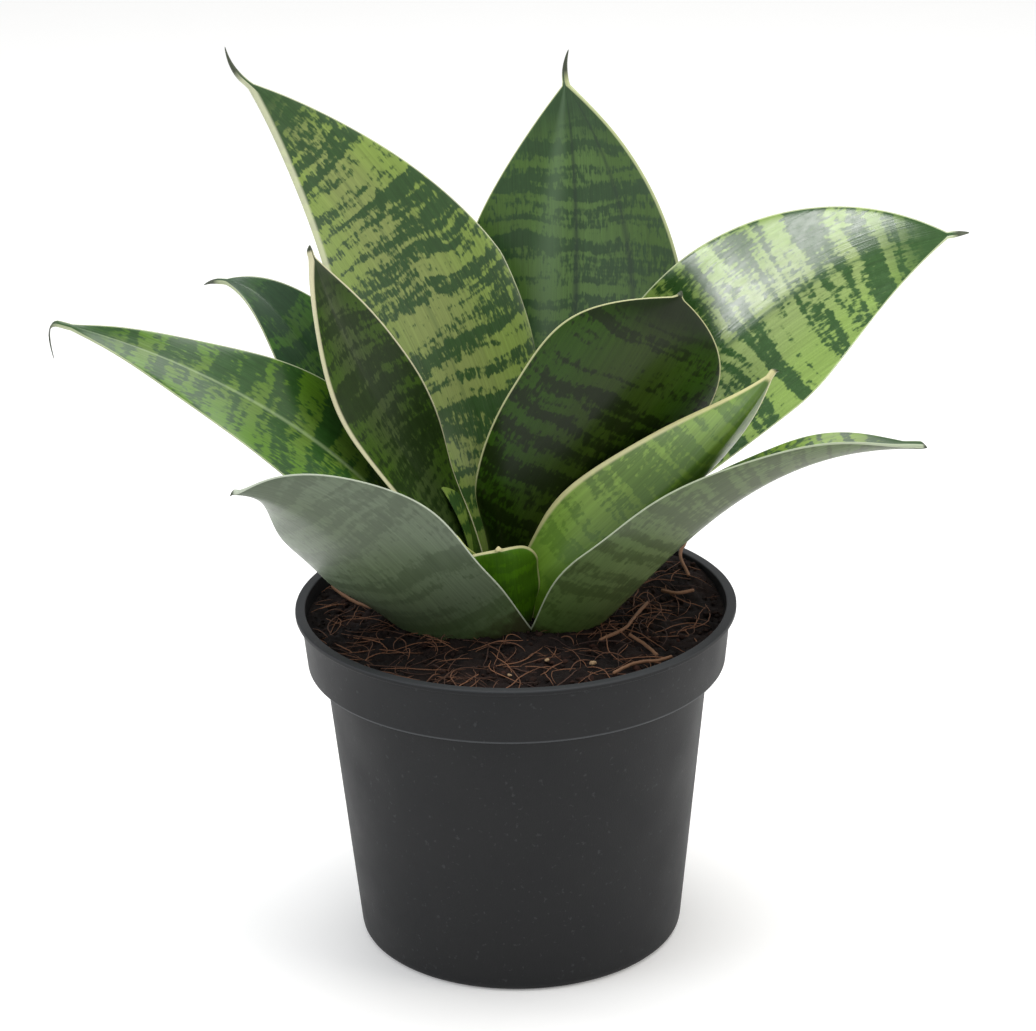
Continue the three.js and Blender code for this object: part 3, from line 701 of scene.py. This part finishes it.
def mouldPot():
    wall = nurseryPot["wall"]
    foot = nurseryPot["footRadius"]
    lip = nurseryPot["lip"]
    outline = roundedOutline([
        (0, 0, 0),
        (foot - 0.5, 0, nurseryPot["footRound"]),
        (bodyRadius, ledge, 0.25),
        (bandFootRadius, bandFoot, 0.8),
        (bandRadius, height - lip, 0.3),
        (lipRadius, height - lip, 0.4),
        (lipRadius, height, 0.5),
        (bandRadius - wall, height, 0.4),
        (bandFootRadius - wall, ledge + wall + 0.6, 0.5),
        (bodyRadius - wall, ledge + wall, 0.5),
        (foot - wall - 0.3, nurseryPot["floor"], 1.5),
        (0, nurseryPot["floor"], 0),
    ])
    points, faces = turnProfile(outline, nurseryPot["facets"])
    pot = meshObject("nursery_pot", np.array(points) * mm, faces, mouldedPolypropylene(),
                     replaces=("pot",))
    cutterMesh = bmesh.new()
    for i in range(nurseryPot["holes"]):
        a = (i + 0.5) / nurseryPot["holes"] * 2 * math.pi
        made = bmesh.ops.create_cone(cutterMesh, cap_ends=True, segments=40,
                                     radius1=nurseryPot["holeRadius"] * mm,
                                     radius2=nurseryPot["holeRadius"] * mm,
                                     depth=nurseryPot["floor"] * 4 * mm)
        place = Vector((math.cos(a), math.sin(a), 0)) * nurseryPot["holePitch"] * mm
        bmesh.ops.translate(cutterMesh, verts=made["verts"], vec=place)
    cutterData = bpy.data.meshes.new("drainCutter")
    cutterMesh.to_mesh(cutterData)
    cutterMesh.free()
    cutter = bpy.data.objects.new("drainCutter", cutterData)
    scene.collection.objects.link(cutter)
    drill = pot.modifiers.new("drain", "BOOLEAN")
    drill.object = cutter
    drill.operation = "DIFFERENCE"
    drill.solver = "EXACT"
    drilled = bpy.data.meshes.new_from_object(pot.evaluated_get(bpy.context.evaluated_depsgraph_get()))
    pot.modifiers.clear()
    pot.data = drilled
    bpy.data.objects.remove(cutter)
    drilled.shade_smooth()
    drilled.set_sharp_from_angle(angle=math.radians(40))
    # mark the ledge and the lip top for the painted highlight
    paintedEdgeLight = []
    for vertex in drilled.vertices:
        r = math.hypot(vertex.co.x, vertex.co.y) / mm
        z = vertex.co.z / mm
        onLedge = abs(z - bandFoot) < 0.75 and r > bandFootRadius - 0.9
        onLip = z > height - 0.35
        paintedEdgeLight.append(0.55 if onLedge else 0.3 if onLip else 0.0)
    addAttribute(pot, "edgeHighlight", paintedEdgeLight)
    return pot


mouldPot()
print("pot moulded")


# potting soil: moist peat and coir, screened, so a near-black ground of soft crumbs from half a
# millimetre to two and a half, with red-brown fibres lying through it

pottingSoil = {
    "belowLip": 3.7,
    "mound": 2.6,
    "heap": 3.4,
    "heapAt": (43, 24),
    "heapSpread": 15,
    "rings": 120,
    "spokes": 420,
    "wallGap": 0.15,
    "relief": ((9.0, 1.3), (3.2, 1.1), (1.3, 0.7)),  # size across and height of each order of lumps
    "crumbs": 3200,
    "crumbSize": (0.5, 2.4),
    "fibres": 420,
    "fibreLength": (6, 24),
    "fibreRadius": (0.07, 0.18),
    "dark": "070404",
    "mid": "150D0A",
    "warm": "281813",
}


def soilHeight(x, y):
    edge = bandRadius - nurseryPot["wall"]
    inward = 1 - min(math.hypot(x, y) / edge, 1)
    away = (x - pottingSoil["heapAt"][0]) ** 2 + (y - pottingSoil["heapAt"][1]) ** 2
    heap = math.exp(-away / pottingSoil["heapSpread"] ** 2)
    level = height - pottingSoil["belowLip"]
    return level + pottingSoil["mound"] * float(smooth(0, 1, inward)) + pottingSoil["heap"] * heap


def moistSoil(name, dark, mid, warm):
    material, tree = newMaterial(name)
    place = addNode(tree, "TexCoord").outputs["Object"]
    lumps = addNode(tree, "TexNoise", {"Vector": place, "Scale": 1 / (1.6 * mm), "Detail": 5.0,
                                       "Roughness": 0.7})
    patches = addNode(tree, "TexNoise", {"Vector": place, "Scale": 1 / (11 * mm), "Detail": 3.0})
    tone = addNode(tree, "Attribute", attribute_name="tone").outputs["Fac"]
    lift = addNode(tree, "MapRange", {"Value": lumps.outputs["Fac"], 1: 0.36, 2: 0.66}).outputs[0]
    colour = addNode(tree, "Mix", {0: lift, 6: hexToLinear(dark), 7: hexToLinear(mid)},
                     data_type="RGBA").outputs[2]
    warmth = addNode(tree, "MapRange", {"Value": patches.outputs["Fac"], 1: 0.4, 2: 0.65, 3: 0.0, 4: 0.7})
    warmth = addNode(tree, "Math", {0: warmth.outputs[0], 1: tone}, operation="MULTIPLY").outputs[0]
    colour = addNode(tree, "Mix", {0: warmth, 6: colour, 7: hexToLinear(warm)},
                     data_type="RGBA").outputs[2]
    crumbly = addNode(tree, "Bump", {"Height": lumps.outputs["Fac"], "Strength": 0.8, "Distance": 0.0006})
    soil = addNode(tree, "BsdfPrincipled", {"Base Color": colour, "Roughness": 0.95,
                                            "Specular IOR Level": 0.25, "Normal": crumbly.outputs[0]})
    addNode(tree, "OutputMaterial", {"Surface": soil.outputs[0]})
    return material


def fillSoil():
    edge = bandRadius - nurseryPot["wall"] - pottingSoil["wallGap"]
    rings, spokes = pottingSoil["rings"], pottingSoil["spokes"]
    points = [(0, 0, soilHeight(0, 0))]
    tones = [0.3]
    for i in range(1, rings + 1):
        r = edge * i / rings
        for k in range(spokes):
            a = 2 * math.pi * k / spokes
            x, y = r * math.cos(a), r * math.sin(a)
            z = soilHeight(x, y)
            fade = 1 - float(smooth(edge - 3, edge, r)) * 0.7
            bump = 0
            for size, tall in pottingSoil["relief"]:
                bump += noise.noise(Vector((x / size, y / size, size))) * tall
            points.append((x, y, z + bump * fade - 0.4))
            tones.append(0.5 + 0.5 * noise.noise(Vector((x / 5, y / 5, 9))))
    skirt = [(edge - 0.5, bandFoot + 4), (bandFootRadius - nurseryPot["wall"] - 0.4, ledge + 2.6),
             (bodyRadius - nurseryPot["wall"] - 0.4, ledge + 0.8),
             (nurseryPot["footRadius"] - nurseryPot["wall"] - 0.6, nurseryPot["floor"] + 0.3)]
    for r, z in skirt:
        for k in range(spokes):
            a = 2 * math.pi * k / spokes
            points.append((r * math.cos(a), r * math.sin(a), z))
            tones.append(0.4)
    points.append((0, 0, nurseryPot["floor"] + 0.3))
    tones.append(0.4)
    faces = [(0, 1 + k, 1 + (k + 1) % spokes) for k in range(spokes)]
    rows = rings + len(skirt)
    for i in range(rows - 1):
        for k in range(spokes):
            a = 1 + i * spokes + k
            b = 1 + i * spokes + (k + 1) % spokes
            faces.append((a, a + spokes, b + spokes, b))
    last = 1 + (rows - 1) * spokes
    faces += [(len(points) - 1, last + (k + 1) % spokes, last + k) for k in range(spokes)]
    soil = meshObject("soil_bed", np.array(points) * mm, faces,
                      moistSoil("moistPeat", pottingSoil["dark"], pottingSoil["mid"], pottingSoil["warm"]),
                      replaces=("potting_soil",))
    addAttribute(soil, "tone", tones)


def scatterCrumbs():
    chance = random.Random(11)
    edge = bandRadius - nurseryPot["wall"] - 1.2
    lump = bmesh.new()
    bmesh.ops.create_icosphere(lump, subdivisions=2, radius=1)
    lump.verts.ensure_lookup_table()
    corners = np.array([v.co[:] for v in lump.verts])
    lumpFaces = np.array([[v.index for v in f.verts] for f in lump.faces])
    lump.free()
    points, faces, tones = [], [], []
    small, large = pottingSoil["crumbSize"]
    for n in range(pottingSoil["crumbs"]):
        r = edge * math.sqrt(chance.random())
        a = chance.uniform(0, 2 * math.pi)
        x, y = r * math.cos(a), r * math.sin(a)
        size = small + (large - small) * chance.random() ** 3
        stretch = np.array([chance.uniform(0.6, 1.2), chance.uniform(0.5, 1.0), chance.uniform(0.4, 0.8)])
        spin = Quaternion((chance.uniform(-0.4, 0.4), chance.uniform(-0.4, 0.4), 1),
                          chance.uniform(0, 6.28)).to_matrix()
        knobs = np.array([1 + 0.55 * noise.noise(Vector(c * 1.6) + Vector((n * 3.1, 0, 0))) for c in corners])
        shaped = (corners * knobs[:, None] * stretch * size / 2) @ np.array(spin).T
        sink = soilHeight(x, y) - 0.4 + chance.uniform(-0.3, 0.5) * size * 0.5
        faces.append(lumpFaces + len(points) * len(corners))
        points.append(shaped + np.array([x, y, sink]))
        tones += [chance.uniform(0.2, 1.3)] * len(corners)
    crumbs = meshObject("soil_crumbs", np.concatenate(points) * mm, np.concatenate(faces).tolist(),
                        moistSoil("peatCrumbs", "090605", "1D120D", "38221A"))
    addAttribute(crumbs, "tone", tones)


def coirFibre(name, dark, light):  # coconut husk strands: matt, red-brown to straw
    material, tree = newMaterial(name)
    place = addNode(tree, "TexCoord").outputs["Object"]
    flecks = addNode(tree, "TexNoise", {"Vector": place, "Scale": 1 / (2.5 * mm), "Detail": 3.0})
    tone = addNode(tree, "Attribute", attribute_name="tone").outputs["Fac"]
    blend = addNode(tree, "Math", {0: flecks.outputs["Fac"], 1: 0.5, 2: tone}, operation="MULTIPLY_ADD")
    share = addNode(tree, "MapRange", {"Value": blend.outputs[0], 1: 0.3, 2: 1.2}).outputs[0]
    colour = addNode(tree, "Mix", {0: share, 6: hexToLinear(dark), 7: hexToLinear(light)},
                     data_type="RGBA").outputs[2]
    rough = addNode(tree, "Bump", {"Height": flecks.outputs["Fac"], "Strength": 0.4, "Distance": 0.0002})
    strand = addNode(tree, "BsdfPrincipled", {"Base Color": colour, "Roughness": 0.8,
                                              "Normal": rough.outputs[0]})
    addNode(tree, "OutputMaterial", {"Surface": strand.outputs[0]})
    return material


def tubeAlong(route, radius, sides=5, taper=0.6):  # closed at both ends
    route = np.array(route)
    headings = np.gradient(route, axis=0)
    headings /= np.linalg.norm(headings, axis=1)[:, None]
    points, faces = [], []
    for i, (place, heading) in enumerate(zip(route, headings)):
        s = i / (len(route) - 1)
        first = np.cross(heading, (0.3, 0.2, 1.0))
        first /= np.linalg.norm(first)
        second = np.cross(heading, first)
        width = radius * (1 - taper * abs(2 * s - 1) ** 2.5)
        for k in range(sides):
            a = 2 * math.pi * k / sides
            points.append(place + (first * math.cos(a) + second * math.sin(a)) * width)
    for i in range(len(route) - 1):
        for k in range(sides):
            a, b = i * sides + k, i * sides + (k + 1) % sides
            faces.append((a, b, b + sides, a + sides))
    faces.append(tuple(range(sides))[::-1])
    faces.append(tuple(len(points) - sides + k for k in range(sides)))
    return points, faces


def scatterFibres():
    chance = random.Random(23)
    edge = bandRadius - nurseryPot["wall"] - 1.0
    points, faces, tones = [], [], []
    for n in range(pottingSoil["fibres"]):
        length = chance.uniform(*pottingSoil["fibreLength"])
        radius = chance.uniform(*pottingSoil["fibreRadius"])
        r = edge * math.sqrt(chance.uniform(0.15, 0.95))
        a = chance.uniform(0, 2 * math.pi)
        x, y = r * math.cos(a), r * math.sin(a)
        heading = chance.uniform(0, 2 * math.pi)
        curl = chance.uniform(-0.12, 0.12)
        rise = chance.uniform(-0.2, 1.6)
        route = []
        steps = 14
        for i in range(steps):
            s = i / (steps - 1)
            if math.hypot(x, y) > edge:
                break
            arch = rise * math.sin(s * math.pi) + 0.25
            route.append((x, y, soilHeight(x, y) + arch - 0.2))
            heading += curl + chance.uniform(-0.25, 0.25)
            x += math.cos(heading) * length / steps
            y += math.sin(heading) * length / steps
        if len(route) < 5:
            continue
        tube, sides = tubeAlong(route, radius)
        faces += [tuple(v + len(points) for v in f) for f in sides]
        points += tube
        tones += [chance.uniform(0, 1)] * len(tube)
    fibres = meshObject("coir_fibres", np.array(points) * mm, faces,
                        coirFibre("coirStrand", "2E1A12", "7A5238"))
    addAttribute(fibres, "tone", tones)


fillSoil()
scatterCrumbs()
scatterFibres()
print("soil filled")


# the loose root strands, bark chips and rhizome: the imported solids, smoothed and roughened

looseBits = {
    "root_strand": {"levels": 2, "rough": 0.12, "size": 2.0},
    "bark_chip": {"levels": 3, "rough": 0.3, "size": 1.1},
    "rhizome": {"levels": 2, "rough": 0.3, "size": 3.0},
}


def softenNode(node, kind, material):
    settings = looseBits[kind]
    solid = frame["nodes"][node].data.copy()
    solid.materials.clear()
    solid.materials.append(material)
    bits = bmesh.new()
    bits.from_mesh(solid)
    bmesh.ops.remove_doubles(bits, verts=bits.verts, dist=0.00001)
    bits.to_mesh(solid)
    bits.free()
    piece = bpy.data.objects.new(node.replace("root_strand", "stray_root").replace("bark_chip", "bark_flake")
                                 .replace("rhizome", "buried_stem"), solid)
    scene.collection.objects.link(piece)
    smoothing = piece.modifiers.new("smooth", "SUBSURF")
    smoothing.levels = settings["levels"]
    made = bpy.data.meshes.new_from_object(piece.evaluated_get(bpy.context.evaluated_depsgraph_get()))
    piece.modifiers.clear()
    piece.data = made
    for vertex in made.vertices:
        shake = noise.noise_vector(vertex.co / (settings["size"] * mm)) * settings["rough"] * mm
        vertex.co += shake
    made.shade_smooth()
    addAttribute(piece, "tone", [0.9] * len(made.vertices))
    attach(piece, "root")
    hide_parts(node)


rootSkin = coirFibre("dryRoot", "3A2218", "74533A")
barkSkin = coirFibre("pineBark", "5A4432", "8E7658")
stemSkin = coirFibre("rhizomeSkin", "A06A30", "D8A860")
noise.seed_set(41)  # noise_vector starts somewhere new on every run unless it is given a seed
for node in frame["nodes"]:
    if node.startswith("root_strand"):
        softenNode(node, "root_strand", rootSkin)
    elif node.startswith("bark_chip"):
        softenNode(node, "bark_chip", barkSkin)
    elif node == "rhizome":
        softenNode(node, "rhizome", stemSkin)
print("loose bits laid")
